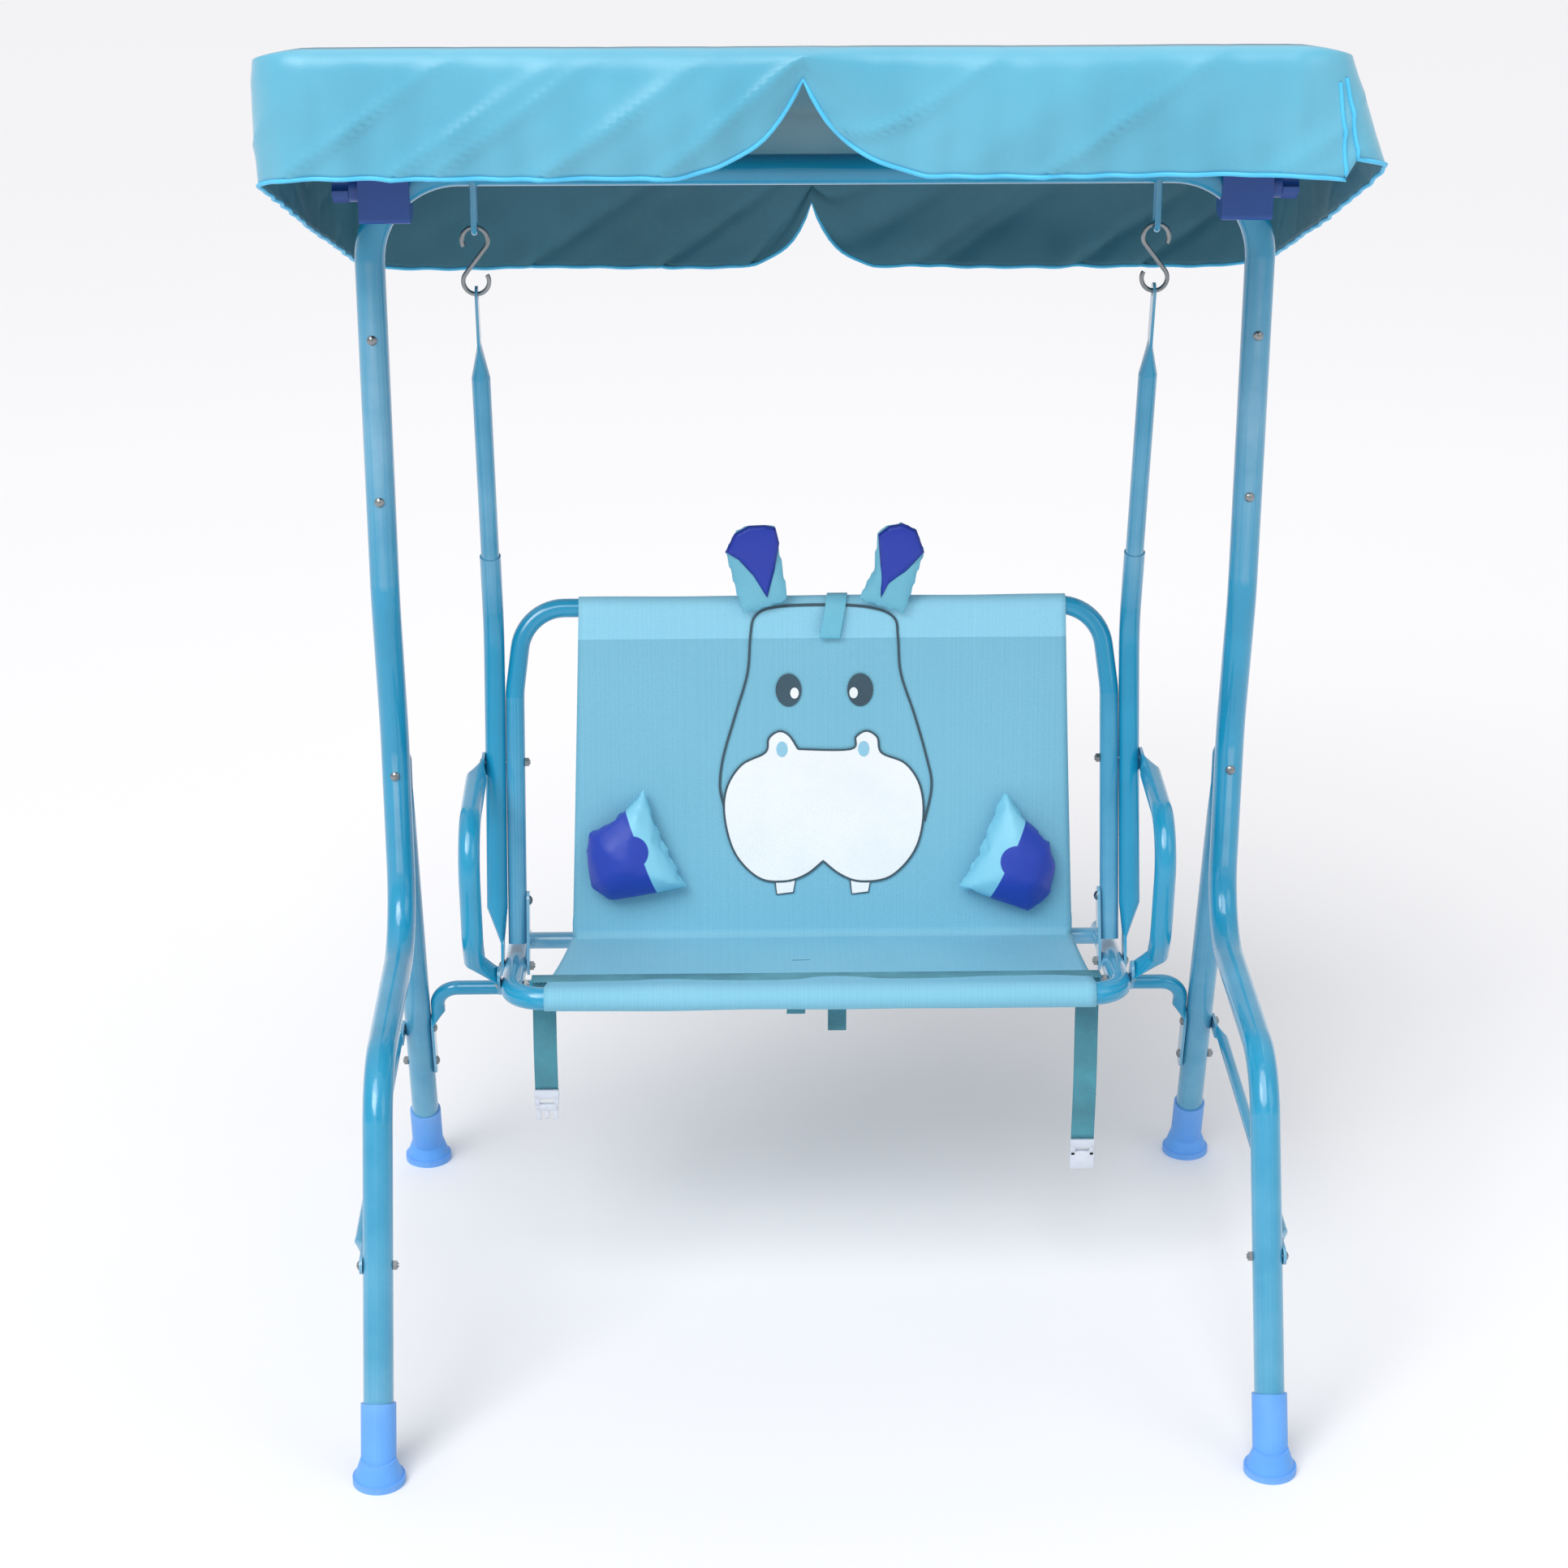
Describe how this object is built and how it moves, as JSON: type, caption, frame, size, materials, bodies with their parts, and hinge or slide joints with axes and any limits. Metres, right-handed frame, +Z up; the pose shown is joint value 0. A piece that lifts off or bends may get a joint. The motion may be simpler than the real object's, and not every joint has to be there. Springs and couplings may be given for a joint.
{
  "type": "canopy swing",
  "caption": "Child's free-standing swing: a bent-tube stand, a tilting fabric canopy, and a sling seat with back and armrests hung on S-hooks.",
  "frame": {"origin": "on the floor, under the middle of the whole swing", "axes": "+Z up, +X to the right seen from the front, the seat faces -Y"},
  "size_m": [0.966, 0.8858, 1.3754],
  "materials": {
    "blue_paint": "gloss powder coat",
    "zinc_plate": "bright zinc plate",
    "foot_plastic": "moulded satin",
    "bracket_plastic": "moulded satin",
    "canopy_cloth": "coated polyester, satin",
    "sling_mesh": "woven coated mesh",
    "paw_satin": "satin polyester",
    "forelock_ribbon": "ribbon",
    "webbing": "woven polypropylene webbing",
    "buckle_plastic": "clear moulded"
  },
  "bodies": {
    "stand": {"brace_bolts": "zinc_plate", "crossbar_bolts": "zinc_plate", "front_left_foot": "foot_plastic", "front_right_foot": "foot_plastic", "left_brace": "blue_paint", "left_canopy_bracket": "bracket_plastic", "left_front_leg": "blue_paint", "left_hook_eye": "blue_paint", "left_joining_sleeve": "blue_paint", "left_rear_leg": "blue_paint", "pivot_studs": "zinc_plate", "rear_crossbar": "blue_paint", "rear_left_foot": "foot_plastic", "rear_leg_bolts": "zinc_plate", "rear_right_foot": "foot_plastic", "right_brace": "blue_paint", "right_canopy_bracket": "bracket_plastic", "right_front_leg": "blue_paint", "right_hook_eye": "blue_paint", "right_joining_sleeve": "blue_paint", "right_rear_leg": "blue_paint", "sleeve_bolts": "zinc_plate", "top_arch": "blue_paint"},
    "hooks": {"left_s_hook": "zinc_plate", "right_s_hook": "zinc_plate"},
    "seat": {"armrest_bolts": "zinc_plate", "back_frame": "blue_paint", "crotch_strap_ends": "webbing", "forelock": "forelock_ribbon", "left_armrest": "blue_paint", "left_belt": "webbing", "left_buckle": "buckle_plastic", "left_ear": "paw_satin", "left_hanger_lower_arm": "blue_paint", "left_hanger_upper_arm": "blue_paint", "left_link_plate": "blue_paint", "left_paw": "paw_satin", "link_screws": "zinc_plate", "right_armrest": "blue_paint", "right_belt": "webbing", "right_buckle": "buckle_plastic", "right_ear": "paw_satin", "right_hanger_lower_arm": "blue_paint", "right_hanger_upper_arm": "blue_paint", "right_link_plate": "blue_paint", "right_paw": "paw_satin", "seat_bolts": "zinc_plate", "seat_frame": "blue_paint", "seat_rear_tube": "blue_paint", "sling": "sling_mesh", "under_seat_strap": "webbing"},
    "canopy": {"canopy_cover": "canopy_cloth", "canopy_front_hoop": "blue_paint", "canopy_rear_hoop": "blue_paint", "left_canopy_socket": "bracket_plastic", "right_canopy_socket": "bracket_plastic"},
    "left_knob": {"left_tilt_knob": "bracket_plastic"},
    "right_knob": {"right_tilt_knob": "bracket_plastic"}
  },
  "joints": [
    {"name": "hook_swing", "type": "hinge", "parent": "stand", "child": "hooks", "pos_m": [0, 0.04301, 1.14435], "axis": [1, 0, 0], "range_deg": [-12, 8]},
    {"name": "seat_swing", "type": "hinge", "parent": "hooks", "child": "seat", "pos_m": [0, 0.04301, 1.07685], "axis": [1, 0, 0], "range_deg": [-8, 5]},
    {"name": "canopy_tilt", "type": "hinge", "parent": "stand", "child": "canopy", "pos_m": [0, 0.04301, 1.185], "axis": [1, 0, 0], "range_deg": [-10, 30]},
    {"name": "left_knob_turn", "type": "hinge", "parent": "stand", "child": "left_knob", "pos_m": [-0.4643, 0.04301, 1.185], "axis": [-1, 0, 0], "range_deg": [0, 180]},
    {"name": "right_knob_turn", "type": "hinge", "parent": "stand", "child": "right_knob", "pos_m": [0.4643, 0.04301, 1.185], "axis": [1, 0, 0], "range_deg": [0, 180]}
  ]
}
